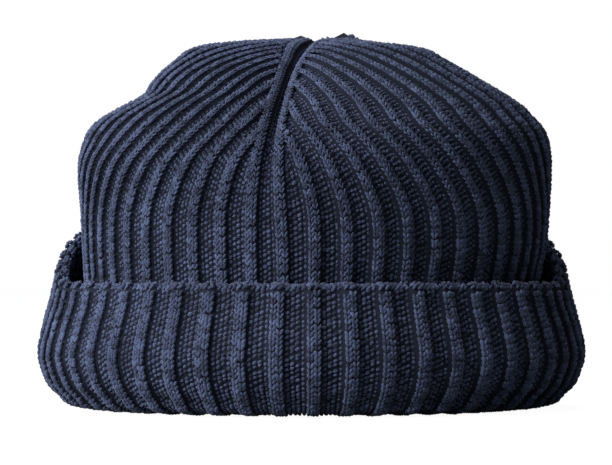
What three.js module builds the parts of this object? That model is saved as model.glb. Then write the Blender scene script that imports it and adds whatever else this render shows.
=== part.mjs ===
import * as THREE from 'three';

// A short docker cap knitted in one tube of broad ribs. Two darts, front and back, close the crown over the
// head, and the lower edge is turned up once into a fat cuff that stands off the crown. Millimetres, +Z up,
// the front dart at -Y, the cap standing on the fold of its cuff. The origin is on the surface, under the
// middle.

// Crown, measured to the crests of the ribs
const CROWN_WIDTH = 171.5;
const CROWN_DEPTH = 192;
const CROWN_HEIGHT = 132.7;

// Cuff
const CUFF_HEIGHT = 43.2; // fold to rim at the front
const RIM_RISE = 19.5; // how much higher the rim stands at the back
const RIM_TURN = 10; // degrees from the front dart to the middle of the rim's low side
const RIM_RISE_FROM = 70; // degrees from there where the rim begins to rise
const RIM_RISE_TO = 120; // degrees from there where it has risen all the way
const CUFF_BULGE = 12.75; // how far the belly of the cuff stands out past the widest crown
const FOLD_TUCK = 8.15; // how far the wall draws in on its way down to the fold
const FOLD_HEIGHT = 9; // from the surface to where the crown's wall meets the cuff's inner leg
const MEETING_GAP = 0.3;

// Knit
const KNIT_WALL = 2.6;
const RIB_RELIEF = 1.8; // crest of a rib above the floor of a channel
const RIB_FACE = 0.4; // share of a rib's pitch that its raised face takes
const GORES = 2;
const RIBS_PER_GORE = 26;
const RIB_SPREAD = 0.09; // how much wider than even the ribs stand across the front and back
const RIB_SWING = 0.04; // radians that the ribs of the sides are turned towards the back

// Darts and the gathered top
const DART_DEPTH = 4.5;
const DART_SPREAD = 0.4; // in ribs, how far from its line a dart pulls the knit down
const DART_DRAW = 0.1; // in ribs, how far the rib beside a dart is drawn in to its line
const RIB_JOIN = 0.7; // in ribs, how near a dart's line the other ribs end
const SIDE_LEAN = 0.3; // radians that the ribs of the sides lean forward on their way up
const GATHER_HEIGHT = 2.8;
const GATHER_SPREAD = 7;
const APEX_SHIFT = 3.6; // the top closes a little right of the middle

const HALF_GORE = RIBS_PER_GORE / 2;

function asSections(columns, rows) {
  return rows.map((row) => Object.fromEntries(columns.map((column, i) => [column, row[i]])));
}

// Sections of the crown from the fold up, each a level ring. level is a share of the crown's height, left
// to back are shares of its half width and half depth, tuck of FOLD_TUCK, shift of APEX_SHIFT and lean of
// SIDE_LEAN. ribs is the share of a gore's ribs that no dart has taken yet, and dart is a share of
// DART_DEPTH. Sections marked lining are the ones that the inner face needs.
const CROWN_COLUMNS = [
  'name', 'level', 'left', 'right', 'front', 'back', 'tuck', 'shift', 'ribs', 'lean', 'dart', 'lining',
];
const CROWN_SECTIONS = asSections(CROWN_COLUMNS, [
  ['foot', 0, 1, 1, 1, 1, 1, 0, 1, 0, 0, true],
  ['in the cuff', 0.2, 1, 1, 1, 1, 0.6, 0, 1, 0, 0, false],
  ['at the rim', 0.325, 1.006, 0.994, 1, 1, 0.5, 0.15, 1, 0, 0, true],
  ['waist', 0.433, 0.966, 0.978, 0.978, 0.978, 0, 0.15, 1, 0, 0, false],
  ['wall', 0.535, 0.974, 0.993, 0.995, 0.995, 0, 0.15, 1, 0.13, 0.1, true],
  ['widest', 0.643, 0.992, 0.993, 1, 1, 0, 0.3, 0.985, 0.55, 0.4, false],
  ['shoulder', 0.707, 0.983, 0.979, 0.975, 0.985, 0, 0.5, 0.95, 0.85, 0.6, false],
  ['shoulder top', 0.751, 0.955, 0.952, 0.935, 0.955, 0, 0.55, 0.897, 1, 0.78, true],
  ['slope 1', 0.781, 0.902, 0.911, 0.885, 0.91, 0, 0.55, 0.868, 1, 0.9, false],
  ['slope 2', 0.812, 0.817, 0.866, 0.83, 0.86, 0, 0.55, 0.84, 1, 0.97, false],
  ['left dent', 0.842, 0.731, 0.801, 0.765, 0.8, 0, 0.55, 0.8, 1, 1, true],
  ['slope 3', 0.872, 0.704, 0.723, 0.69, 0.73, 0, 0.55, 0.76, 1, 1, false],
  ['right dent', 0.906, 0.664, 0.637, 0.6, 0.645, 0, 0.55, 0.69, 0.95, 1, true],
  ['slope 4', 0.94, 0.61, 0.545, 0.49, 0.54, 0, 0.6, 0.57, 0.8, 0.95, false],
  ['top edge', 0.97, 0.559, 0.445, 0.37, 0.42, 0, 0.7, 0.4, 0.5, 0.8, true],
  ['top', 0.987, 0.455, 0.255, 0.25, 0.28, 0, 0.8, 0.3, 0.2, 0.55, false],
  ['around the gather', 0.996, 0.263, 0.157, 0.16, 0.17, 0, 1, 0.2, 0, 0.35, true],
  ['gather', 1, 0.1, 0.1, 0.08, 0.08, 0, 1, 0.12, 0, 0.15, false],
]);

// Sections of the cuff's outer face, from where it meets the crown, down its inner leg, under the flat of
// the fold and up to the rim. fold is a share of FOLD_HEIGHT, level of CUFF_HEIGHT and rise of RIM_RISE.
// tuck and out are shares of FOLD_TUCK and CUFF_BULGE, and wall is 1 where the knit lies inside the crown's
// outline. channel says how the channels lie to the ribs: -1 sunk, 1 proud as seen from inside the cap.
const CUFF_COLUMNS = ['name', 'fold', 'level', 'rise', 'tuck', 'out', 'wall', 'channel', 'lining'];
const CUFF_SECTIONS = asSections(CUFF_COLUMNS, [
  ['meets crown', 1, 0, 0, 1, 0, 1, 1, true],
  ['inner leg', 0.5, 0, 0, 1.2, 0, 1, 0.8, false],
  ['inner toe', 0.14, 0, 0, 1.4, 0, 1, 0.3, false],
  ['flat, inside', 0, 0, 0, 1.32, 0, 1, 0, false],
  ['flat, outside', 0, 0, 0, 0.8, 0, 0, 0, true],
  ['under the belly', 0, 0.03, 0, 0, 0.13, 0, -0.7, false],
  ['fold', 0, 0.1, 0, 0, 0.4, 0, -1, true],
  ['low belly', 0, 0.21, 0.02, 0, 0.74, 0, -1, false],
  ['belly', 0, 0.43, 0.15, 0, 0.98, 0, -1, true],
  ['high belly', 0, 0.66, 0.45, 0, 0.82, 0, -1, false],
  ['under the rim', 0, 0.86, 0.84, 0, 0.59, 0, -1, true],
  ['rim', 0, 1, 1, 0, 0.5, 0, -1, true],
]);

// The knit bunches in two small bumps where the darts meet. across is from the closing point, in spreads.
const GATHER_BUMPS = [
  { name: 'left bump', across: -0.72, along: 0, height: 1.7 },
  { name: 'right bump', across: 1.05, along: 0.2, height: 1.2 },
];

const NAVY = new THREE.Color(0.028, 0.035, 0.06);

// The lines of a gore that the mesh follows, in ribs from the gore's middle: two edges of each raised
// face and the floor of the channel after it. The last channel floor is the dart's line.
function goreColumns() {
  const columns = [];
  for (let rib = 0.5 - HALF_GORE; rib < HALF_GORE; rib += 1) {
    columns.push({ at: rib - RIB_FACE / 2, raised: 1 });
    columns.push({ at: rib + RIB_FACE / 2, raised: 1 });
    columns.push({ at: rib + 0.5, raised: 0 });
  }
  return columns;
}

// Where a column lies once the darts have taken some ribs. The rib beside a dart runs along it to the top,
// and the others end against that rib one after another.
function settleColumn(column, section) {
  const reach = HALF_GORE * (section.ribs ?? 1);
  const out = Math.abs(column.at);
  const besideDart = out > HALF_GORE - RIB_JOIN;
  const ended = !besideDart && out >= reach - RIB_JOIN;
  const fromDart = besideDart ? HALF_GORE - out : Math.max(reach - out, RIB_JOIN);
  const drawn = (section.dart ?? 0) ** 0.6 * DART_DRAW * drawShare(fromDart);
  return {
    turn: Math.sign(column.at) * (1 - (fromDart - drawn) / reach),
    raised: ended ? 0 : column.raised,
    fromDart,
  };
}

// How much of a dart's draw reaches a place: all of it across the rib beside the dart, none on its line.
function drawShare(fromDart) {
  return THREE.MathUtils.smoothstep(fromDart, 0, 0.3) * (1 - THREE.MathUtils.smoothstep(fromDart, 0.7, 1.6));
}

function dartPull(fromDart) {
  return Math.exp(-((fromDart / DART_SPREAD) ** 1.3));
}

function gatherLift(x, y) {
  let lift = 0;
  for (const bump of GATHER_BUMPS) {
    const across = (x - APEX_SHIFT) / GATHER_SPREAD - bump.across;
    const along = y / GATHER_SPREAD - bump.along;
    lift += bump.height * GATHER_HEIGHT * Math.exp(-3 * (across ** 2 + along ** 2));
  }
  return lift;
}

// The outline's own angle where ribs reach the given share of a turn.
function plotAngle(angle) {
  return angle + (RIB_SPREAD / 2) * Math.sin(2 * angle) + RIB_SWING * (1 - Math.cos(angle));
}

function crownPoint(section, angle) {
  const t = plotAngle(angle) - section.lean * SIDE_LEAN * Math.sin(angle);
  const across = Math.sin(t);
  const along = -Math.cos(t);
  const tuck = section.tuck * FOLD_TUCK;
  const reachX = (CROWN_WIDTH / 2) * (across > 0 ? section.right : section.left) - tuck;
  const reachY = (CROWN_DEPTH / 2) * (along < 0 ? section.front : section.back) - tuck;
  const x = across * reachX + section.shift * APEX_SHIFT;
  const y = along * reachY;
  const z = Math.max(section.level * CROWN_HEIGHT, FOLD_HEIGHT + MEETING_GAP) + gatherLift(x, y);
  return new THREE.Vector3(x, y, z);
}

function cuffPoint(section, angle) {
  const t = plotAngle(angle);
  const fromLow = Math.acos(Math.cos(angle - THREE.MathUtils.degToRad(RIM_TURN)));
  const risen = THREE.MathUtils.smoothstep(THREE.MathUtils.radToDeg(fromLow), RIM_RISE_FROM, RIM_RISE_TO);
  const past = section.out * CUFF_BULGE - section.tuck * FOLD_TUCK - section.wall * KNIT_WALL;
  const rise = section.rise * RIM_RISE * risen;
  const z = section.fold * FOLD_HEIGHT + section.level * CUFF_HEIGHT + rise;
  return new THREE.Vector3(
    Math.sin(t) * (CROWN_WIDTH / 2 + past),
    -Math.cos(t) * (CROWN_DEPTH / 2 + past),
    z,
  );
}

// Outward direction of a wall at one section. The ends of a wall are cut level.
function wallNormal(sections, index, angle, pointAt) {
  const step = 0.01;
  const before = sections[Math.max(index - 1, 0)];
  const after = sections[Math.min(index + 1, sections.length - 1)];
  const around = pointAt(sections[index], angle + step).sub(pointAt(sections[index], angle - step));
  const along = pointAt(after, angle).sub(pointAt(before, angle));
  const normal = around.cross(along);
  const levelCut = index === 0 || (sections === CUFF_SECTIONS && index === sections.length - 1);
  if (levelCut) normal.z = 0;
  return normal.normalize();
}

// One level ring of a wall's outer or inner face: its points and, for each column, the point it uses.
// Columns that a dart has drawn together share a point.
function wallRing(sections, index, pointAt, sink, depth) {
  const section = sections[index];
  const columns = goreColumns();
  const points = [];
  const used = [];
  for (let gore = 0; gore < GORES; gore += 1) {
    let lastTurn = null;
    for (const column of columns) {
      const place = settleColumn(column, section);
      if (place.turn !== lastTurn) {
        const angle = ((gore * 2 + 1 + place.turn) * Math.PI) / GORES;
        const pulled = (section.dart ?? 0) * DART_DEPTH * dartPull(place.fromDart);
        const inward = pulled + sink(section) * RIB_RELIEF * (1 - place.raised) + depth;
        const normal = wallNormal(sections, index, angle, pointAt);
        points.push(pointAt(section, angle).addScaledVector(normal, -inward));
      }
      lastTurn = place.turn;
      used.push(points.length - 1);
    }
  }
  return { points, used };
}

// Joins rings in order into one closed skin. A loop of rings closes on itself, and otherwise each end of
// the stack closes on one point.
function closedSkin(rings, firstPoint, lastPoint) {
  const positions = [];
  const starts = rings.map((ring) => {
    const start = positions.length / 3;
    ring.points.forEach((point) => positions.push(point.x, point.y, point.z));
    return start;
  });
  const index = [];
  const addTriangle = (a, b, c) => {
    if (a !== b && b !== c && c !== a) index.push(a, b, c);
  };
  const columnCount = rings[0].used.length;
  const bandCount = firstPoint ? rings.length - 1 : rings.length;
  for (let band = 0; band < bandCount; band += 1) {
    const above = (band + 1) % rings.length;
    for (let column = 0; column < columnCount; column += 1) {
      const next = (column + 1) % columnCount;
      const low = starts[band] + rings[band].used[column];
      const lowNext = starts[band] + rings[band].used[next];
      const high = starts[above] + rings[above].used[column];
      const highNext = starts[above] + rings[above].used[next];
      addTriangle(low, lowNext, highNext);
      addTriangle(low, highNext, high);
    }
  }
  if (firstPoint) {
    const last = rings.length - 1;
    positions.push(firstPoint.x, firstPoint.y, firstPoint.z, lastPoint.x, lastPoint.y, lastPoint.z);
    const firstTip = positions.length / 3 - 2;
    const lastTip = firstTip + 1;
    for (let column = 0; column < columnCount; column += 1) {
      const next = (column + 1) % columnCount;
      addTriangle(firstTip, starts[0] + rings[0].used[next], starts[0] + rings[0].used[column]);
      addTriangle(lastTip, starts[last] + rings[last].used[column], starts[last] + rings[last].used[next]);
    }
  }
  const geometry = new THREE.BufferGeometry();
  geometry.setAttribute('position', new THREE.Float32BufferAttribute(positions, 3));
  geometry.setIndex(index);
  geometry.computeVertexNormals();
  return geometry;
}

function liningIndices(sections) {
  return sections.flatMap((section, index) => (section.lining ? [index] : []));
}

// The crown: a ribbed dome, open below, whose inner face follows the outer one a knit's thickness in.
function crownGeometry() {
  const sunk = () => 1;
  const outer = CROWN_SECTIONS.map((_, i) => wallRing(CROWN_SECTIONS, i, crownPoint, sunk, 0));
  const inner = liningIndices(CROWN_SECTIONS).reverse()
    .map((i) => wallRing(CROWN_SECTIONS, i, crownPoint, sunk, KNIT_WALL));
  const outerTop = new THREE.Vector3(APEX_SHIFT, 0, CROWN_HEIGHT + gatherLift(APEX_SHIFT, 0));
  const innerTop = new THREE.Vector3(APEX_SHIFT, 0, CROWN_HEIGHT - KNIT_WALL - RIB_RELIEF);
  return closedSkin([...inner, ...outer], innerTop, outerTop);
}

// The cuff: the turned-up end of the same knit, with the fold that the cap stands on.
function cuffGeometry() {
  const byFace = (section) => -section.channel;
  const outer = CUFF_SECTIONS.map((_, i) => wallRing(CUFF_SECTIONS, i, cuffPoint, byFace, 0));
  const inner = liningIndices(CUFF_SECTIONS).reverse()
    .map((i) => wallRing(CUFF_SECTIONS, i, cuffPoint, byFace, KNIT_WALL));
  return closedSkin([...outer, ...inner]);
}

function knitMaterial() {
  return new THREE.MeshStandardMaterial({ color: NAVY, roughness: 0.95, metalness: 0 });
}

const crown = new THREE.Mesh(crownGeometry(), knitMaterial());
crown.name = 'crown';

const cuff = new THREE.Mesh(cuffGeometry(), knitMaterial());
cuff.name = 'cuff';

const cap = new THREE.Group();
cap.add(crown, cuff);

export default cap;
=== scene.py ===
"""A navy docker cap in broad rib knit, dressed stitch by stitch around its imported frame.

The crown and the turned-up cuff are laid out with the same sections, ribs and darts as the solids. A
close corrugated cloth carries every stitch that shows as yarn: two knit wales on each raised rib and
four purl wales in each channel. All lengths are in metres, +Z is up and the front dart is at -Y.
"""

import logging
import math
from dataclasses import dataclass, field
from enum import Enum

import bpy
import numpy as np
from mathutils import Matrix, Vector

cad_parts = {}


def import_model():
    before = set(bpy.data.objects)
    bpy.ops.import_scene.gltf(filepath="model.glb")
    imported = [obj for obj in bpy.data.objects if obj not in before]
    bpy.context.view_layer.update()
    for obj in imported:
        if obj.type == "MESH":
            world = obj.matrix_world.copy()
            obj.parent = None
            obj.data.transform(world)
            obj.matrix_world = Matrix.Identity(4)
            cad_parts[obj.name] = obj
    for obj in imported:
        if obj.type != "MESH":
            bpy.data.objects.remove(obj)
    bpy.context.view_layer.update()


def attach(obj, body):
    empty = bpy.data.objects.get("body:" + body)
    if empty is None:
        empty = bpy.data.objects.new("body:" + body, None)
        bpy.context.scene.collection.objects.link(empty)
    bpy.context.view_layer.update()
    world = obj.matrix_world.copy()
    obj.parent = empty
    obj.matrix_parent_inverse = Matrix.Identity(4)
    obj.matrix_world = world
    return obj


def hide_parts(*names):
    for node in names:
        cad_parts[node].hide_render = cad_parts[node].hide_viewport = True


LOG = logging.getLogger("docker_cap")
MM = 0.001
SEED = 56
BODY = "root"


@dataclass(frozen=True)
class CapSizes:
    """The sizes that the crown, the cuff and the knit share, in metres unless named otherwise."""

    crown_width: float = 171.5 * MM
    crown_depth: float = 192 * MM
    crown_height: float = 132.7 * MM
    cuff_height: float = 43.2 * MM
    rim_rise: float = 19.5 * MM
    rim_turn: float = math.radians(10)
    rim_rise_from: float = math.radians(70)
    rim_rise_to: float = math.radians(120)
    cuff_bulge: float = 12.75 * MM
    fold_tuck: float = 8.15 * MM
    fold_height: float = 9 * MM
    meeting_gap: float = 0.3 * MM
    knit_wall: float = 2.6 * MM
    rib_relief: float = 1.8 * MM
    rib_spread: float = 0.09
    rib_swing: float = 0.04
    side_lean: float = 0.22
    front_lean: float = 0.175
    gores: int = 2
    ribs_per_gore: int = 26
    dart_depth: float = 4.5 * MM
    dart_spread: float = 0.4
    dart_draw: float = 0.1
    rib_join: float = 0.7
    gather_height: float = 2.8 * MM
    gather_spread: float = 7 * MM
    apex_shift: float = 3.6 * MM
    rib_face: float = 0.1
    rib_foot: float = 0.31
    rib_margin: float = 0.11
    wale_margin: float = 0.16
    draw_near: float = 0.3
    draw_from: float = 0.7
    draw_to: float = 1.6

    @property
    def half_gore(self) -> float:
        """Ribs from a gore's middle to its dart at the foot."""
        return self.ribs_per_gore / 2

    @property
    def gore_angle(self) -> float:
        """Half the angle that a gore takes, in radians."""
        return math.pi / self.gores


@dataclass(frozen=True)
class CrownSection:
    """One level ring of the crown. level is a share of the crown's height, left to back of its half width
    and half depth, tuck, shift and lean of the sizes of those names, ribs of a gore's ribs and dart of the
    darts' depth."""

    level: float
    left: float
    right: float
    front: float
    back: float
    tuck: float
    shift: float
    ribs: float
    lean: float
    dart: float


CROWN_SECTIONS = (
    CrownSection(0, 1, 1, 1, 1, tuck=1, shift=0, ribs=1, lean=0, dart=0),
    CrownSection(0.2, 1, 1, 1, 1, tuck=0.6, shift=0, ribs=1, lean=0, dart=0),
    CrownSection(0.325, 1.006, 0.994, 1, 1, tuck=0.5, shift=0.15, ribs=1, lean=0, dart=0),
    CrownSection(0.433, 0.966, 0.978, 0.978, 0.978, tuck=0, shift=0.15, ribs=1, lean=0, dart=0),
    CrownSection(0.535, 0.974, 0.993, 0.995, 0.995, tuck=0, shift=0.15, ribs=1, lean=0.13, dart=0.1),
    CrownSection(0.643, 0.992, 0.993, 1, 1, tuck=0, shift=0.3, ribs=0.985, lean=0.55, dart=0.4),
    CrownSection(0.707, 0.983, 0.979, 0.975, 0.985, tuck=0, shift=0.5, ribs=0.95, lean=0.85, dart=0.6),
    CrownSection(0.751, 0.955, 0.952, 0.935, 0.955, tuck=0, shift=0.55, ribs=0.908, lean=1, dart=0.78),
    CrownSection(0.781, 0.902, 0.911, 0.885, 0.91, tuck=0, shift=0.55, ribs=0.882, lean=1, dart=0.9),
    CrownSection(0.812, 0.817, 0.866, 0.83, 0.86, tuck=0, shift=0.55, ribs=0.855, lean=1, dart=0.97),
    CrownSection(0.842, 0.731, 0.801, 0.765, 0.8, tuck=0, shift=0.55, ribs=0.815, lean=1, dart=1),
    CrownSection(0.872, 0.704, 0.723, 0.69, 0.73, tuck=0, shift=0.55, ribs=0.77, lean=1, dart=1),
    CrownSection(0.906, 0.664, 0.637, 0.6, 0.645, tuck=0, shift=0.55, ribs=0.69, lean=1, dart=1),
    CrownSection(0.94, 0.61, 0.545, 0.49, 0.54, tuck=0, shift=0.6, ribs=0.57, lean=1, dart=0.95),
    CrownSection(0.97, 0.559, 0.445, 0.37, 0.42, tuck=0, shift=0.7, ribs=0.4, lean=1, dart=0.8),
    CrownSection(0.987, 0.455, 0.255, 0.25, 0.28, tuck=0, shift=0.8, ribs=0.3, lean=1, dart=0.55),
    CrownSection(0.996, 0.263, 0.157, 0.16, 0.17, tuck=0, shift=1, ribs=0.2, lean=1, dart=0.35),
    CrownSection(1, 0.1, 0.1, 0.08, 0.08, tuck=0, shift=1, ribs=0.12, lean=1, dart=0.15),
)


@dataclass(frozen=True)
class CuffSection:
    """One ring of the cuff's outer face. fold is a share of the fold's height, level of the cuff's, rise of
    the rim's rise, tuck and out of the fold's tuck and the cuff's bulge. wall is 1 inside the crown's
    outline, and channel says how the channels lie to the ribs: -1 sunk, 1 proud from inside the cap."""

    fold: float
    level: float
    rise: float
    tuck: float
    out: float
    wall: float
    channel: float


CUFF_SECTIONS = (
    CuffSection(1, 0, 0, tuck=1, out=0, wall=1, channel=1),
    CuffSection(0.5, 0, 0, tuck=1.2, out=0, wall=1, channel=0.8),
    CuffSection(0.14, 0, 0, tuck=1.4, out=0, wall=1, channel=0.3),
    CuffSection(0, 0, 0, tuck=1.32, out=0, wall=1, channel=0),
    CuffSection(0, 0, 0, tuck=0.8, out=0, wall=0, channel=0),
    CuffSection(0, 0.03, 0, tuck=0, out=0.13, wall=0, channel=-0.7),
    CuffSection(0, 0.1, 0, tuck=0, out=0.4, wall=0, channel=-1),
    CuffSection(0, 0.21, 0.02, tuck=0, out=0.74, wall=0, channel=-1),
    CuffSection(0, 0.43, 0.15, tuck=0, out=0.98, wall=0, channel=-1),
    CuffSection(0, 0.66, 0.45, tuck=0, out=0.82, wall=0, channel=-1),
    CuffSection(0, 0.86, 0.84, tuck=0, out=0.59, wall=0, channel=-1),
    CuffSection(0, 1, 1, tuck=0, out=0.5, wall=0, channel=-1),
)


@dataclass(frozen=True)
class GatherBump:
    """A small bump where the darts meet: its place from the closing point in spreads, and its height."""

    across: float
    along: float
    height: float


GATHER_BUMPS = (GatherBump(-0.72, 0, 1.7), GatherBump(1.05, 0.2, 1.2))


class Wale(Enum):
    """The two kinds of stitch column, by which side of the stitch faces out."""

    KNIT = "knit"
    PURL = "purl"


@dataclass(frozen=True)
class WalePlace:
    """One stitch column of a rib: its place from the rib's middle, its kind, and its share of a row's
    shift."""

    aside: float
    kind: Wale
    shift: float


WALE_PLACES = (
    WalePlace(-0.09, Wale.KNIT, 0.0),
    WalePlace(0.09, Wale.KNIT, 0.3),
    WalePlace(-0.28, Wale.PURL, 0.2),
    WalePlace(0.28, Wale.PURL, 0.0),
    WalePlace(-0.43, Wale.PURL, 0.8),
    WalePlace(0.43, Wale.PURL, 0.4),
)


@dataclass(frozen=True)
class GrainShape:
    """A grain's half length, width and thickness as shares of its stitch, and the points round it."""

    length: float
    width: float
    thick: float
    sides: int


KNIT_GRAIN = GrainShape(0.7, 0.24, 0.32, sides=5)
PURL_GRAIN = GrainShape(0.5, 0.35, 0.45, sides=4)
LOOP_GRAIN = GrainShape(0.58, 0.3, 0.3, sides=6)
INNER_GRAIN = GrainShape(0.56, 0.36, 0.34, sides=5)


@dataclass(frozen=True)
class RimLoop:
    """One strand of the cast-on edge: its depth in walls, its rise in rows and its lean in radians."""

    depth: float
    rise: float
    lean: float


RIM_LOOPS = (
    RimLoop(0.22, -0.1, 0.6),
    RimLoop(0.4, 0.35, -0.4),
    RimLoop(0.75, 0.5, 0.4),
    RimLoop(1.05, 0.1, -0.3),
)


def smooth_step(value: np.ndarray, low: float, high: float) -> np.ndarray:
    """An eased share from 0 at low to 1 at high.

    Args:
        value: The numbers to ease.
        low: Where the share begins.
        high: Where it is complete.

    Returns:
        The eased shares.
    """
    share = np.clip((value - low) / (high - low), 0, 1)
    return share * share * (3 - 2 * share)


def unit(vectors: np.ndarray) -> np.ndarray:
    """The vectors at length one.

    Args:
        vectors: One vector a row.

    Returns:
        Their unit vectors.
    """
    length = np.linalg.norm(vectors, axis=-1, keepdims=True)
    return vectors / np.maximum(length, 1e-12)


class RibbedWall:
    """A knitted wall laid through level sections, with ribs, darts and a smooth outline."""

    level_ends = (True, False)

    def __init__(self, sizes: CapSizes, sections: tuple, names: tuple) -> None:
        """Reads the sections into one table.

        Args:
            sizes: The cap's sizes.
            sections: The rings, in order from the foot of the wall.
            names: The names of the sections' columns, in the table's order.
        """
        self.sizes = sizes
        self.names = names
        self.table = np.array([[getattr(s, n) for n in names] for s in sections], float)
        self.last = len(sections) - 1.0

    def section(self, v: np.ndarray) -> dict:
        """The section's columns at v rows from the foot, curved smoothly through the rows.

        Args:
            v: Places along the wall, in rows of the table.

        Returns:
            Each column's values by its name.
        """
        rows = self.table
        low = np.clip(np.floor(v).astype(int), 0, len(rows) - 2)
        f = (v - low)[..., None]
        before, start = rows[np.maximum(low - 1, 0)], rows[low]
        end, after = rows[low + 1], rows[np.minimum(low + 2, len(rows) - 1)]
        bend = 2 * before - 5 * start + 4 * end - after
        twist = 3 * (start - end) + after - before
        values = start + 0.5 * f * (end - before + f * (bend + f * twist))
        return {name: values[..., i] for i, name in enumerate(self.names)}

    def plot_angle(self, angle: np.ndarray) -> np.ndarray:
        """The outline's own angle where ribs spaced evenly along it reach the given share of a turn."""
        s = self.sizes
        return angle + s.rib_spread / 2 * np.sin(2 * angle) + s.rib_swing * (1 - np.cos(angle))

    def smooth_point(self, v: np.ndarray, angle: np.ndarray) -> np.ndarray:
        """A point of the wall's outline without ribs or darts."""
        raise NotImplementedError

    def sink(self, section: dict) -> np.ndarray:
        """How far channels lie behind the ribs, as a share of the ribs' relief."""
        raise NotImplementedError

    def smooth_normal(self, v: np.ndarray, angle: np.ndarray) -> np.ndarray:
        """The outward direction of the plain outline.

        Args:
            v: Places along the wall.
            angle: Places round it, in radians.

        Returns:
            Unit directions, one a row.
        """
        step_v, step_a = 0.15, 0.01
        lower, upper = np.clip(v - step_v, 0, self.last), np.clip(v + step_v, 0, self.last)
        along = self.smooth_point(upper, angle) - self.smooth_point(lower, angle)
        around = self.smooth_point(v, angle + step_a) - self.smooth_point(v, angle - step_a)
        normal = np.cross(around, along)
        level = np.zeros(v.shape, bool)
        if self.level_ends[0]:
            level |= v < 1e-6
        if self.level_ends[1]:
            level |= v > self.last - 1e-6
        normal[..., 2] = np.where(level, 0, normal[..., 2])
        return unit(normal)

    def settle(self, v: np.ndarray, at: np.ndarray) -> tuple:
        """Where a wale lies once the darts have taken some ribs.

        Args:
            v: Places along the wall.
            at: The wale's place in ribs from the gore's middle, at the foot.

        Returns:
            The share of the half gore, the ribs from the dart, and whether the wale is still there.
        """
        half = self.sizes.half_gore
        share = self.section(v)["ribs"] if "ribs" in self.names else np.ones(v.shape)
        reach = half * share
        out = np.abs(at)
        join = self.sizes.rib_join
        beside = out > half - join - self.sizes.rib_margin
        place = np.where(beside, reach - (half - out), np.minimum(out, reach - join))
        alive = beside | (out < reach - join)
        from_dart = reach - place
        s = self.sizes
        past = smooth_step(from_dart, s.draw_from, s.draw_to)
        near = smooth_step(from_dart, 0, s.draw_near) * (1 - past)
        return np.sign(at) * (1 - (from_dart - self.draw(v) * near) / reach), from_dart, alive

    def draw(self, v: np.ndarray) -> np.ndarray:
        """How far the ribs beside a dart are drawn in to its line, in ribs."""
        return np.zeros(v.shape)

    def point(self, v: np.ndarray, gore: np.ndarray, at: np.ndarray, lift: float = 0) -> np.ndarray:
        """A point of the ribbed cloth.

        Args:
            v: Places along the wall.
            gore: The gore's number, from the front's right.
            at: The wale's place in ribs from the gore's middle.
            lift: How far outside the cloth the point lies.

        Returns:
            The points, one a row.
        """
        s = self.sizes
        section = self.section(v)
        turn, from_dart, alive = self.settle(v, at)
        angle = (gore * 2 + 1 + turn) * s.gore_angle
        pull = np.exp(-((np.maximum(from_dart, 0) / s.dart_spread) ** 1.3))
        dart = section["dart"] * s.dart_depth * pull if "dart" in section else 0
        raised = np.where(alive, self.rib_profile(at), 0)
        inward = dart + self.sink(section) * s.rib_relief * (1 - raised) - lift
        return self.smooth_point(v, angle) - self.smooth_normal(v, angle) * inward[..., None]

    def rib_profile(self, at: np.ndarray) -> np.ndarray:
        """1 on the raised face of a rib and 0 on the floor of a channel."""
        from_rib = np.abs((at + self.sizes.half_gore) % 1 - 0.5)
        return 1 - smooth_step(from_rib, self.sizes.rib_face, self.sizes.rib_foot)

    def frame_at(self, v: np.ndarray, gore: np.ndarray, at: np.ndarray, lift: float) -> tuple:
        """The cloth's own directions at points of it.

        Args:
            v: Places along the wall.
            gore: The gore's number.
            at: The wale's place in ribs from the gore's middle.
            lift: How far outside the cloth the points lie.

        Returns:
            The points and the unit directions across the wales, along them and out of the cloth.
        """
        dv, da = 0.06, 0.05
        centre = self.point(v, gore, at, lift)
        low, high = np.clip(v - dv, 0, self.last), np.clip(v + dv, 0, self.last)
        along = unit(self.point(high, gore, at) - self.point(low, gore, at))
        # Both sides are read at one place along the dart, so that a wale near its end keeps its frame.
        side = np.sign(at) + (at == 0)
        around = (self.point(v, gore, at) - self.point(v, gore, at - side * da)) * side[..., None]
        out = unit(np.cross(unit(around), along))
        return centre, unit(np.cross(along, out)), along, out

    def rows_from(self, start: float, end: float, height: float) -> np.ndarray:
        """Places of the rows of stitches, a row's height apart along the middle of a gore.

        Args:
            start: The first place, in rows of the table.
            end: The last place.
            height: The height of a row of stitches.

        Returns:
            The places, in rows of the table.
        """
        fine = np.linspace(start, end, 3000)
        angle = np.full(fine.shape, self.sizes.gore_angle)
        points = self.smooth_point(fine, angle)
        length = np.concatenate([[0], np.cumsum(np.linalg.norm(np.diff(points, axis=0), axis=1))])
        count = max(2, round(length[-1] / height))
        return np.interp(np.linspace(0, length[-1], count + 1), length, fine)


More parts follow.
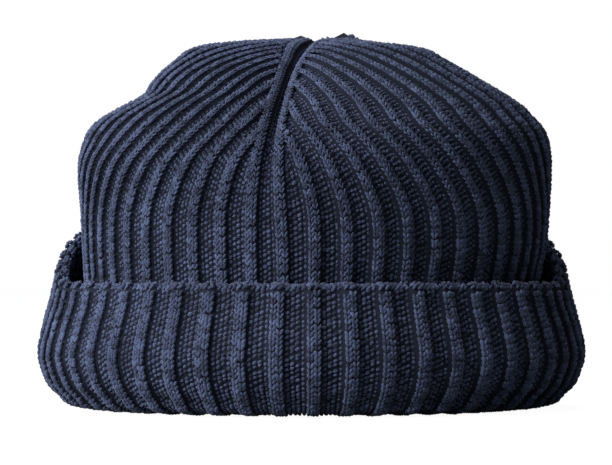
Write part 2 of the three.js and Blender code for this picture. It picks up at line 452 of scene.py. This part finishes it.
class CrownWall(RibbedWall):
    """The dome of the crown, from the fold up to its gathered top."""

    def __init__(self, sizes: CapSizes) -> None:
        """Lays the crown through its sections."""
        names = ("level", "left", "right", "front", "back", "tuck", "shift", "ribs", "lean", "dart")
        super().__init__(sizes, CROWN_SECTIONS, names)

    def draw(self, v: np.ndarray) -> np.ndarray:
        """Ribs close in on a dart as it deepens."""
        return self.sizes.dart_draw * np.maximum(self.section(v)["dart"], 0) ** 0.6

    def gather_lift(self, x: np.ndarray, y: np.ndarray) -> np.ndarray:
        """How far the bunched knit stands up at a place over the top.

        Args:
            x: Places to the right of the middle.
            y: Places behind it.

        Returns:
            The heights that the bumps add.
        """
        s = self.sizes
        lift = np.zeros(x.shape)
        for bump in GATHER_BUMPS:
            across = (x - s.apex_shift) / s.gather_spread - bump.across
            along = y / s.gather_spread - bump.along
            lift += bump.height * s.gather_height * np.exp(-3 * (across**2 + along**2))
        return lift

    def smooth_point(self, v: np.ndarray, angle: np.ndarray) -> np.ndarray:
        """A point of the crown's outline without ribs or darts.

        Args:
            v: Places along the wall.
            angle: Places round it, in radians.

        Returns:
            The points, one a row.
        """
        s, row = self.sizes, self.section(v)
        leaning = s.side_lean + s.front_lean * np.cos(angle)
        t = self.plot_angle(angle) - row["lean"] * np.sin(angle) * leaning
        across, along = np.sin(t), -np.cos(t)
        tuck = row["tuck"] * s.fold_tuck
        reach_x = s.crown_width / 2 * np.where(across > 0, row["right"], row["left"]) - tuck
        reach_y = s.crown_depth / 2 * np.where(along < 0, row["front"], row["back"]) - tuck
        x = across * reach_x + row["shift"] * s.apex_shift
        y = along * reach_y
        foot = s.fold_height + s.meeting_gap
        z = np.maximum(row["level"] * s.crown_height, foot) + self.gather_lift(x, y)
        return np.stack([x, y, z], axis=-1)

    def sink(self, section: dict) -> np.ndarray:
        """Channels lie a full relief behind the ribs."""
        return np.ones(section["level"].shape)


class CuffWall(RibbedWall):
    """The turned-up band, from its inner leg round the fold and up to the rim."""

    level_ends = (True, True)

    def __init__(self, sizes: CapSizes) -> None:
        """Lays the cuff through its sections."""
        names = ("fold", "level", "rise", "tuck", "out", "wall", "channel")
        super().__init__(sizes, CUFF_SECTIONS, names)

    def smooth_point(self, v: np.ndarray, angle: np.ndarray) -> np.ndarray:
        """A point of the cuff's outline without ribs.

        Args:
            v: Places along the wall.
            angle: Places round it, in radians.

        Returns:
            The points, one a row.
        """
        s, row = self.sizes, self.section(v)
        t = self.plot_angle(angle)
        from_low = np.arccos(np.clip(np.cos(angle - s.rim_turn), -1, 1))
        past = row["out"] * s.cuff_bulge - row["tuck"] * s.fold_tuck - row["wall"] * s.knit_wall
        risen = smooth_step(from_low, s.rim_rise_from, s.rim_rise_to)
        z = row["fold"] * s.fold_height + row["level"] * s.cuff_height + row["rise"] * s.rim_rise * risen
        x = np.sin(t) * (s.crown_width / 2 + past)
        y = -np.cos(t) * (s.crown_depth / 2 + past)
        return np.stack([x, y, np.maximum(z, 0)], axis=-1)

    def sink(self, section: dict) -> np.ndarray:
        """Channels are sunk outside the fold and proud inside it."""
        return -section["channel"]


@dataclass
class YarnMesh:
    """Grains of yarn gathered as arrays and joined into one mesh."""

    points: list = field(default_factory=list)
    faces: list = field(default_factory=list)
    tones: list = field(default_factory=list)
    count: int = 0
    ring_place: float = 0.45
    ring_radius: float = 0.98

    def grains(self, centre: np.ndarray, length_dir: np.ndarray, width_dir: np.ndarray,
               out_dir: np.ndarray, length: np.ndarray, width: np.ndarray, thick: np.ndarray,
               tone: np.ndarray, sides: int) -> None:
        """Adds one closed grain, round and pointed at both ends, at each centre.

        Args:
            centre: Middle points, one a row.
            length_dir: Unit directions of the grains.
            width_dir: Unit directions across them.
            out_dir: Unit directions out of the cloth.
            length: Half lengths.
            width: Half widths.
            thick: Half thicknesses.
            tone: Each grain's own shade, around 0.5.
            sides: How many points go round a grain.
        """
        rings = 2
        along = np.array([-self.ring_place, self.ring_place])
        radius = np.full(rings, self.ring_radius)
        turn = (np.arange(sides) + 0.25) * 2 * math.pi / sides
        ring = np.stack([np.cos(turn), np.sin(turn)], axis=1)
        local = [(-1, 0, 0)]
        local += [(a, r * c, r * d) for a, r in zip(along, radius) for c, d in ring]
        local += [(1, 0, 0)]
        shape = np.array(local)
        tip = len(shape) - 1
        tris = []
        for k in range(sides):
            n = (k + 1) % sides
            tris.append((0, 1 + n, 1 + k))
            for r in range(rings - 1):
                a, b = 1 + r * sides + k, 1 + r * sides + n
                c, d = a + sides, b + sides
                tris += [(a, b, d), (a, d, c)]
            top = 1 + (rings - 1) * sides
            tris.append((tip, top + k, top + n))
        tris = np.array(tris)
        number = len(centre)
        u = length_dir * np.broadcast_to(length, number)[:, None]
        w = width_dir * np.broadcast_to(width, number)[:, None]
        t = out_dir * np.broadcast_to(thick, number)[:, None]
        points = centre[:, None] + sum(shape[None, :, i, None] * d[:, None] for i, d in enumerate((u, w, t)))
        start = self.count + np.arange(number)[:, None, None] * len(shape)
        self.points.append(points.reshape(-1, 3))
        self.faces.append((tris[None] + start).reshape(-1, 3))
        self.tones.append(np.repeat(np.broadcast_to(tone, number), len(shape)))
        self.count += number * len(shape)

    def build(self, name: str) -> bpy.types.Object:
        """Joins the grains into one smooth-shaded object.

        Args:
            name: The piece's name.

        Returns:
            The new object, in the scene.
        """
        tones = np.concatenate(self.tones)
        return new_mesh(name, np.concatenate(self.points), np.concatenate(self.faces), {"tone": tones})


def new_mesh(name: str, points: np.ndarray, faces: np.ndarray, values: dict) -> bpy.types.Object:
    """Makes a smooth-shaded triangle mesh with numbers on its points.

    Args:
        name: The piece's name.
        points: One point a row.
        faces: Three point numbers a row.
        values: Arrays of one number a point, by attribute name.

    Returns:
        The new object, in the scene.
    """
    mesh = bpy.data.meshes.new(name)
    mesh.vertices.add(len(points))
    mesh.vertices.foreach_set("co", points.astype(np.float32).ravel())
    mesh.loops.add(faces.size)
    mesh.loops.foreach_set("vertex_index", faces.astype(np.int32).ravel())
    mesh.polygons.add(len(faces))
    mesh.polygons.foreach_set("loop_start", np.arange(0, faces.size, 3, dtype=np.int32))
    mesh.update(calc_edges=True)
    mesh.polygons.foreach_set("use_smooth", np.ones(len(faces), bool))
    for key, numbers in values.items():
        attribute = mesh.attributes.new(key, "FLOAT", "POINT")
        attribute.data.foreach_set("value", numbers.astype(np.float32))
    mesh.validate()
    piece = bpy.data.objects.new(name, mesh)
    bpy.context.scene.collection.objects.link(piece)
    return piece


@dataclass(frozen=True)
class Stitch:
    """How one stitch of the knit is sized and set."""

    row_height: float = 1.85 * MM
    leg_lean: float = math.radians(26)
    leg_aside: float = 0.044
    knit_lift: float = -0.4 * MM
    purl_lift: float = -0.75 * MM
    purl_slant: float = math.radians(25)
    purl_share: float = 0.74
    jitter: float = 0.1
    rim_rows: int = 5
    row_jitter: float = 0.12
    tone_jitter: float = 0.06
    narrowest: float = 1.2 * MM
    widest: float = 2.7 * MM
    widths_per_rib: int = 5
    leg_jitter: float = 0.06
    slant_jitter: float = 0.14
    loop_jitter: float = 0.25


@dataclass
class ClothShell:
    """The corrugated cloth behind the stitches: an outer face, an inner face a knit's thickness in, and
    the ends between them."""

    wall: RibbedWall
    name: str
    columns_per_rib: int = 8
    outer_row: float = 2.6 * MM
    inner_row: float = 5.0 * MM
    outer_depth: float = 0.9 * MM
    inner_past: float = 0.2 * MM
    closed_top: bool = True

    def ring_points(self, v: float, depth: float) -> np.ndarray:
        """One ring of the cloth, a point for each column.

        Args:
            v: The ring's place along the wall.
            depth: How far behind the wall's face it lies.

        Returns:
            The points, one a row.
        """
        s = self.wall.sizes
        per_gore = s.ribs_per_gore * self.columns_per_rib
        at = (np.arange(per_gore) + 1) / self.columns_per_rib - s.half_gore
        at = np.tile(at, s.gores)
        gore = np.repeat(np.arange(s.gores), per_gore)
        return self.wall.point(np.full(at.shape, v), gore, at, -depth)

    def build(self) -> bpy.types.Object:
        """Makes the closed shell, with the points that the darts draw together merged.

        Returns:
            The new object.
        """
        wall, inner_depth = self.wall, self.wall.sizes.knit_wall + self.inner_past
        outer = [self.ring_points(v, self.outer_depth) for v in wall.rows_from(0, wall.last, self.outer_row)]
        inner = [self.ring_points(v, inner_depth) for v in wall.rows_from(0, wall.last, self.inner_row)]
        rings = inner[::-1] + outer if self.closed_top else outer + inner[::-1]
        columns = len(rings[0])
        points = np.concatenate(rings)
        bands = len(rings) - 1 if self.closed_top else len(rings)
        band, column = np.meshgrid(np.arange(bands), np.arange(columns), indexing="ij")
        above, beside = (band + 1) % len(rings), (column + 1) % columns
        low, low_next = band * columns + column, band * columns + beside
        high, high_next = above * columns + column, above * columns + beside
        faces = [np.stack([low, low_next, high_next], -1), np.stack([low, high_next, high], -1)]
        if self.closed_top:
            tips = np.stack([rings[0].mean(axis=0), rings[-1].mean(axis=0)])
            points = np.concatenate([points, tips])
            ring, top = np.arange(columns), (len(rings) - 1) * columns
            after = (ring + 1) % columns
            first, last = np.full(columns, len(points) - 2), np.full(columns, len(points) - 1)
            faces.append(np.stack([first, after, ring], -1))
            faces.append(np.stack([last, top + ring, top + after], -1))
        faces = np.concatenate([f.reshape(-1, 3) for f in faces])
        _, index, inverse = np.unique(np.round(points, 6), axis=0, return_index=True, return_inverse=True)
        faces = inverse.ravel()[faces]
        whole = (faces[:, 0] != faces[:, 1]) & (faces[:, 1] != faces[:, 2]) & (faces[:, 2] != faces[:, 0])
        points = points[index]
        return new_mesh(self.name, points, faces[whole], {"tone": np.full(len(points), 0.5)})


@dataclass
class RibStitches:
    """Every stitch that shows on one wall, as yarn."""

    wall: RibbedWall
    stitch: Stitch
    start: float
    end: float
    random: np.random.Generator

    def wales(self) -> list:
        """The stitch columns of one gore: place in ribs from its middle, kind, and share of a row's shift.

        Returns:
            One such tuple for each stitch column.
        """
        half = self.wall.sizes.half_gore
        ribs = np.arange(0.5 - half, half)
        return [(rib + wale.aside, wale.kind, wale.shift) for rib in ribs for wale in WALE_PLACES]

    def places(self, at: float, shift: float, gore: int) -> tuple:
        """The stitches of one wale that are still there.

        Args:
            at: The wale's place.
            shift: The share of a row by which the wale is staggered.
            gore: The gore's number.

        Returns:
            Places along the wall, gore numbers and places in ribs.
        """
        fine = np.linspace(self.start, self.end, 500)
        path = self.wall.point(fine, np.full(fine.shape, gore), np.full(fine.shape, at))
        length = np.concatenate([[0], np.cumsum(np.linalg.norm(np.diff(path, axis=0), axis=1))])
        height = self.stitch.row_height
        steps = (np.arange(int(length[-1] / height)) + shift) * height
        steps += self.stitch.row_jitter * height * self.random.standard_normal(len(steps))
        v = np.interp(steps, length, fine)
        half = self.wall.sizes.half_gore
        share = self.wall.section(v)["ribs"] if "ribs" in self.wall.names else np.ones(v.shape)
        sizes = self.wall.sizes
        join = sizes.rib_join
        beside_dart = abs(at) > half - join - sizes.rib_margin
        alive = beside_dart | (abs(at) < half * share - join + sizes.wale_margin)
        v = v[alive]
        return v, np.full(v.shape, gore), np.full(v.shape, at)

    def add(self, yarn: YarnMesh, gore: int, side: int) -> None:
        """Adds the stitches of half a gore.

        Args:
            yarn: Where the grains are gathered.
            gore: The gore's number.
            side: -1 for the half before the gore's middle, 1 for the half after it.
        """
        for at, kind, shift in self.wales():
            if at * side < 0:
                continue
            v, gores, ats = self.places(at, shift, gore)
            if len(v) == 0:
                continue
            if kind is Wale.KNIT:
                self.knit_wale(yarn, v, gores, ats)
            else:
                self.purl_wale(yarn, v, gores, ats)

    def shades(self, number: int) -> tuple:
        """Each stitch's own shade and size."""
        tone = 0.5 + self.stitch.tone_jitter * self.random.standard_normal(number)
        return tone, 1 + self.stitch.jitter * self.random.standard_normal(number)

    def knit_wale(self, yarn: YarnMesh, v: np.ndarray, gore: np.ndarray, at: np.ndarray) -> None:
        """Adds a wale of knit stitches: two legs each, leaning apart as they rise.

        Args:
            yarn: Where the grains are gathered.
            v: Places along the wall.
            gore: The gore's number, for each stitch.
            at: The wale's place in ribs, for each stitch.
        """
        s = self.stitch
        tone, size = self.shades(len(v))
        for side in (-1, 1):
            centre, across, along, out = self.wall.frame_at(v, gore, at + side * s.leg_aside, s.knit_lift)
            width = self.spacing(v, gore, at, across)
            lean = s.leg_lean + s.leg_jitter * self.random.standard_normal(len(v))
            c, d = np.cos(lean)[:, None], np.sin(lean)[:, None] * side
            reach = unit(along * c + across * d + out * 0.2)
            beside = unit(np.cross(out, reach))
            facing = np.cross(reach, beside)
            grain = KNIT_GRAIN
            yarn.grains(centre, reach, beside, facing, grain.length * s.row_height * size,
                        grain.width * width * size, grain.thick * width * size, tone, grain.sides)

    def purl_wale(self, yarn: YarnMesh, v: np.ndarray, gore: np.ndarray, at: np.ndarray) -> None:
        """Adds a wale of purl bumps, slanting up to the right.

        Args:
            yarn: Where the grains are gathered.
            v: Places along the wall.
            gore: The gore's number, for each stitch.
            at: The wale's place in ribs, for each stitch.
        """
        s = self.stitch
        tone, size = self.shades(len(v))
        centre, across, along, out = self.wall.frame_at(v, gore, at, s.purl_lift)
        width = s.purl_share * self.spacing(v, gore, at, across)
        slant = s.purl_slant + s.slant_jitter * self.random.standard_normal(len(v))
        c, d = np.cos(slant)[:, None], np.sin(slant)[:, None]
        reach, beside = across * c + along * d, along * c - across * d
        grain = PURL_GRAIN
        yarn.grains(centre, reach, beside, out, grain.length * width * size,
                    grain.width * s.row_height * size, grain.thick * width * size, tone, grain.sides)

    def rim(self, yarn: YarnMesh, gore: int, side: int) -> None:
        """Adds the cast-on edge of larger loops along the rim, and the first rows inside it.

        Args:
            yarn: Where the grains are gathered.
            gore: The gore's number.
            side: Which half of the gore, as for its stitches.
        """
        s, wall = self.stitch, self.wall
        ats = np.array([at for at, _, _ in self.wales() if at * side > 0])
        gores = np.full(ats.shape, gore)
        top = np.full(ats.shape, wall.last)
        width = self.spacing(top, gores, ats, wall.frame_at(top, gores, ats, 0)[1])
        for loop in RIM_LOOPS:
            tone, size = self.shades(len(ats))
            centre, across, along, out = wall.frame_at(top, gores, ats, -loop.depth * wall.sizes.knit_wall)
            lift = loop.rise * s.row_height * (1 + 0.2 * self.random.standard_normal(len(ats)))
            lift += 0.25 * s.row_height * wall.rib_profile(ats)
            turn = loop.lean + s.loop_jitter * self.random.standard_normal(len(ats))
            c, d = np.cos(turn)[:, None], np.sin(turn)[:, None]
            reach, beside = across * c + along * d, along * c - across * d
            grain = LOOP_GRAIN
            yarn.grains(centre + along * lift[:, None], reach, beside, out, grain.length * width * size,
                        grain.width * s.row_height * size, grain.thick * s.row_height * size, tone,
                        grain.sides)
        rows = wall.rows_from(self.start, self.end, s.row_height)
        places = np.interp(np.arange(s.rim_rows) + 0.3, np.arange(len(rows)), rows[::-1])
        for v in places:
            tone, size = self.shades(len(ats))
            centre, across, along, out = wall.frame_at(np.full(ats.shape, v), gores, ats,
                                                       -1.05 * wall.sizes.knit_wall)
            yarn.grains(centre, unit(across + along * 0.4), unit(along - across * 0.4), out,
                        INNER_GRAIN.length * width * size, INNER_GRAIN.width * s.row_height * size,
                        INNER_GRAIN.thick * width * size, tone, INNER_GRAIN.sides)

    def spacing(self, v: np.ndarray, gore: np.ndarray, at: np.ndarray, across: np.ndarray) -> np.ndarray:
        """The width of a wale at each place: a fifth of the rib's pitch there, square to the wale.

        Args:
            v: Places along the wall.
            gore: The gore's number, for each place.
            at: The wale's place in ribs, for each place.
            across: Unit directions across the wale.

        Returns:
            The widths.
        """
        half, half_gore = 0.05, self.wall.sizes.half_gore
        rib = np.floor(at + half_gore) + 0.5 - half_gore
        step = self.wall.point(v, gore, rib + half) - self.wall.point(v, gore, rib - half)
        s, pitch = self.stitch, np.abs((step * across).sum(axis=1)) / (2 * half)
        return np.clip(pitch / s.widths_per_rib, s.narrowest, s.widest)


def shader_socket(group: bpy.types.NodeTree, name: str, into: bool, kind: str, value: float = 0.0) -> None:
    """Adds a named socket to a node group.

    Args:
        group: The node group.
        name: The socket's name.
        into: True for an input.
        kind: The socket's type.
        value: The input's own value.
    """
    way = "INPUT" if into else "OUTPUT"
    made = group.interface.new_socket(name=name, in_out=way, socket_type=kind)
    if into and kind == "NodeSocketFloat":
        made.default_value = value


def fibre_group() -> bpy.types.NodeTree:
    """The wool's own surface, shared by every finish: soft fibre noise as a shade and as a height.

    Returns:
        The node group, with inputs Scale and Strength and outputs Shade and Height.
    """
    group = bpy.data.node_groups.new("wool_fibre", "ShaderNodeTree")
    shader_socket(group, "Scale", True, "NodeSocketFloat", 1.0)
    shader_socket(group, "Strength", True, "NodeSocketFloat", 1.0)
    shader_socket(group, "Shade", False, "NodeSocketFloat")
    shader_socket(group, "Height", False, "NodeSocketFloat")
    nodes, links = group.nodes, group.links
    ins, outs = nodes.new("NodeGroupInput"), nodes.new("NodeGroupOutput")
    place = nodes.new("ShaderNodeTexCoord")
    scaled = nodes.new("ShaderNodeVectorMath")
    scaled.operation = "SCALE"
    links.new(place.outputs["Object"], scaled.inputs[0])
    links.new(ins.outputs["Scale"], scaled.inputs["Scale"])
    fine, broad = nodes.new("ShaderNodeTexNoise"), nodes.new("ShaderNodeTexNoise")
    fine.inputs["Scale"].default_value = 2600
    fine.inputs["Detail"].default_value = 3
    broad.inputs["Scale"].default_value = 60
    broad.inputs["Detail"].default_value = 4
    for noise in (fine, broad):
        links.new(scaled.outputs[0], noise.inputs["Vector"])
    mix = nodes.new("ShaderNodeMath")
    mix.operation = "MULTIPLY_ADD"
    mix.inputs[1].default_value = 0.45
    links.new(broad.outputs["Fac"], mix.inputs[0])
    links.new(fine.outputs["Fac"], mix.inputs[2])
    shade = nodes.new("ShaderNodeMath")
    shade.operation = "MULTIPLY"
    links.new(mix.outputs[0], shade.inputs[0])
    links.new(ins.outputs["Strength"], shade.inputs[1])
    links.new(shade.outputs[0], outs.inputs["Shade"])
    links.new(fine.outputs["Fac"], outs.inputs["Height"])
    return group


@dataclass(frozen=True)
class WoolFinish:
    """Navy wool yarn: two shades that the fibres mix, with a soft bright edge from its halo."""

    name: str
    deep: tuple
    light: tuple
    sheen: float = 0.35
    bump: float = 0.35
    deep_until: float = 0.27
    light_from: float = 0.48

    def material(self, fibre: bpy.types.NodeTree) -> bpy.types.Material:
        """Builds the material.

        Args:
            fibre: The shared fibre group.

        Returns:
            The new material.
        """
        made = bpy.data.materials.new(self.name)
        made.use_nodes = True
        nodes, links = made.node_tree.nodes, made.node_tree.links
        shader = nodes["Principled BSDF"]
        shader.inputs["Roughness"].default_value = 0.92
        shader.inputs["Sheen Weight"].default_value = self.sheen
        shader.inputs["Sheen Roughness"].default_value = 0.45
        shader.inputs["Sheen Tint"].default_value = (0.62, 0.7, 0.95, 1)
        shader.inputs["Specular IOR Level"].default_value = 0.18
        wool = nodes.new("ShaderNodeGroup")
        wool.node_tree = fibre
        wool.inputs["Scale"].default_value = 1.0
        wool.inputs["Strength"].default_value = 1.0
        tone = nodes.new("ShaderNodeAttribute")
        tone.attribute_name = "tone"
        both = nodes.new("ShaderNodeMath")
        both.operation = "MULTIPLY"
        links.new(wool.outputs["Shade"], both.inputs[0])
        links.new(tone.outputs["Fac"], both.inputs[1])
        ramp = nodes.new("ShaderNodeValToRGB")
        ramp.color_ramp.elements[0].position = self.deep_until
        ramp.color_ramp.elements[0].color = (*self.deep, 1)
        ramp.color_ramp.elements[1].position = self.light_from
        ramp.color_ramp.elements[1].color = (*self.light, 1)
        links.new(both.outputs[0], ramp.inputs["Fac"])
        links.new(ramp.outputs["Color"], shader.inputs["Base Color"])
        bump = nodes.new("ShaderNodeBump")
        bump.inputs["Strength"].default_value = self.bump
        bump.inputs["Distance"].default_value = 0.25 * MM
        links.new(wool.outputs["Height"], bump.inputs["Height"])
        links.new(bump.outputs["Normal"], shader.inputs["Normal"])
        return made


@dataclass
class DockerCap:
    """The whole cap: its cloth and its stitches, on the frame's crown and cuff."""

    sizes: CapSizes = field(default_factory=CapSizes)
    stitch: Stitch = field(default_factory=Stitch)
    crown_start: float = 1.7
    crown_stop: float = 0.25
    cuff_start: float = 3.6

    def build(self) -> list:
        """Builds and dresses every piece.

        Returns:
            The pieces.
        """
        random = np.random.default_rng(SEED)
        fibre = fibre_group()
        # The cloth behind the stitches gets a wool finish several times darker than the yarn's. This is
        # painted shade in the gaps between stitches, standing in for the shadow that falls there on yarn of
        # one colour.
        cloth = WoolFinish("navy_wool_cloth_painted_shade", (0.007, 0.0095, 0.018), (0.018, 0.023, 0.043), sheen=0.1)
        yarn = WoolFinish("navy_wool_yarn", (0.022, 0.028, 0.055), (0.103, 0.133, 0.25))
        shade_painted_cloth_made, yarn_made = cloth.material(fibre), yarn.material(fibre)
        crown, cuff = CrownWall(self.sizes), CuffWall(self.sizes)
        pieces = []
        for wall, node, closed in ((crown, "crown", True), (cuff, "cuff", False)):
            shell = ClothShell(wall, f"{node}_cloth", closed_top=closed).build()
            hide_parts(node)
            pieces.append(self.dress(shell, shade_painted_cloth_made))
        dressed = (
            (crown, "crown", self.crown_start, crown.last - self.crown_stop),
            (cuff, "cuff", self.cuff_start, cuff.last),
        )
        for wall, node, start, end in dressed:
            maker = RibStitches(wall, self.stitch, start, end, random)
            for number in range(2 * self.sizes.gores):
                gore, side = number // 2, 2 * (number % 2) - 1
                mesh = YarnMesh()
                maker.add(mesh, gore, side)
                if wall is cuff:
                    maker.rim(mesh, gore, side)
                piece = mesh.build(f"{node}_stitches_{number + 1}")
                pieces.append(self.dress(piece, yarn_made))
        return pieces

    def dress(self, piece: bpy.types.Object, material: bpy.types.Material) -> bpy.types.Object:
        """Gives a piece its material, slot and body, and reports it.

        Args:
            piece: The piece.
            material: Its material.

        Returns:
            The same piece.
        """
        piece.data.materials.append(material)
        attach(piece, BODY)
        LOG.info("%s: %d triangles", piece.name, len(piece.data.polygons))
        return piece


@dataclass(frozen=True)
class Lamp:
    """A round soft light: its place and width in metres, and its power in watts."""

    name: str
    place: tuple
    size: float
    power: float


LAMPS = (
    Lamp("key", (-1.0, -1.3, 0.75), 1.5, 36),
    Lamp("side", (-1.6, -0.35, 0.45), 1.4, 15),
    Lamp("fill", (0.5, -1.8, 0.9), 1.2, 1.5),
    Lamp("top", (-0.2, 0.4, 1.5), 0.9, 4.5),
)


@dataclass(frozen=True)
class Studio:
    """The pale floor, the soft light from the left and the camera at the photograph's angle."""

    azimuth: float = math.radians(10)
    elevation: float = math.radians(-0.5)
    distance: float = 1.3
    frame_width: int = 612
    metres_per_pixel: float = 0.362 * MM
    aim: tuple = (0.0, 0.0, 62.6 * MM)
    aim_right: float = -2.2 * MM
    lit: tuple = (0, 0, 0.07)

    def build(self) -> None:
        """Makes the floor, lights, world and camera."""
        self.camera()
        self.floor()
        self.lights()

    def camera(self) -> None:
        """Makes the scene's camera."""
        back = Vector((math.sin(self.azimuth) * math.cos(self.elevation),
                       -math.cos(self.azimuth) * math.cos(self.elevation), math.sin(self.elevation)))
        right = Vector((math.cos(self.azimuth), math.sin(self.azimuth), 0))
        data = bpy.data.cameras.new("camera")
        data.sensor_width = 36
        data.lens = self.distance * data.sensor_width / (self.frame_width * self.metres_per_pixel)
        data.clip_start, data.clip_end = 0.05, 20
        camera = bpy.data.objects.new("camera", data)
        camera.location = Vector(self.aim) + right * self.aim_right + back * self.distance
        camera.rotation_euler = (-back).to_track_quat("-Z", "Y").to_euler()
        bpy.context.scene.collection.objects.link(camera)
        bpy.context.scene.camera = camera

    def floor(self) -> None:
        """Makes the plain pale floor."""
        size, low = 6.0, -0.7 * MM
        outline = [(-size, -size, low), (size, -size, low), (size, size, low), (-size, size, low)]
        mesh = bpy.data.meshes.new("floor")
        mesh.from_pydata(outline, [], [(0, 1, 2, 3)])
        floor = bpy.data.objects.new("floor", mesh)
        bpy.context.scene.collection.objects.link(floor)
        pale = bpy.data.materials.new("pale_floor")
        pale.use_nodes = True
        nodes, links = pale.node_tree.nodes, pale.node_tree.links
        shader = nodes["Principled BSDF"]
        shader.inputs["Base Color"].default_value = (0.3, 0.3, 0.3, 1)
        shader.inputs["Roughness"].default_value = 1
        shader.inputs["Specular IOR Level"].default_value = 0
        ray, glow = nodes.new("ShaderNodeLightPath"), nodes.new("ShaderNodeEmission")
        glow.inputs["Color"].default_value = (0.96, 0.96, 0.96, 1)
        both = nodes.new("ShaderNodeAddShader")
        mix = nodes.new("ShaderNodeMixShader")
        links.new(shader.outputs[0], both.inputs[0])
        links.new(glow.outputs[0], both.inputs[1])
        links.new(ray.outputs["Is Camera Ray"], mix.inputs["Fac"])
        links.new(shader.outputs[0], mix.inputs[1])
        links.new(both.outputs[0], mix.inputs[2])
        links.new(mix.outputs[0], nodes["Material Output"].inputs["Surface"])
        floor.data.materials.append(pale)

    def lights(self) -> None:
        """Makes the lamps and the pale surroundings."""
        for lamp in LAMPS:
            data = bpy.data.lights.new(lamp.name, "AREA")
            data.shape, data.size, data.energy = "DISK", lamp.size, lamp.power
            light = bpy.data.objects.new(lamp.name, data)
            light.location = lamp.place
            aim = Vector(self.lit) - Vector(lamp.place)
            light.rotation_euler = aim.to_track_quat("-Z", "Y").to_euler()
            bpy.context.scene.collection.objects.link(light)
        world = bpy.data.worlds.new("studio")
        world.use_nodes = True
        nodes, links = world.node_tree.nodes, world.node_tree.links
        ray, pale = nodes.new("ShaderNodeLightPath"), nodes.new("ShaderNodeBackground")
        pale.inputs["Color"].default_value = (1, 1, 1, 1)
        dim = nodes["Background"]
        dim.inputs["Color"].default_value = (0.9, 0.94, 1, 1)
        dim.inputs["Strength"].default_value = 0.1
        mix = nodes.new("ShaderNodeMixShader")
        links.new(ray.outputs["Is Camera Ray"], mix.inputs["Fac"])
        links.new(dim.outputs[0], mix.inputs[1])
        links.new(pale.outputs[0], mix.inputs[2])
        links.new(mix.outputs[0], nodes["World Output"].inputs["Surface"])
        bpy.context.scene.world = world
        bpy.context.scene.view_settings.view_transform = "Standard"


def main() -> None:
    """Loads the frame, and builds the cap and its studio."""
    logging.basicConfig(level=logging.INFO)
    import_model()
    DockerCap().build()
    Studio().build()
    bpy.context.view_layer.update()


if __name__ == "__main__":
    main()
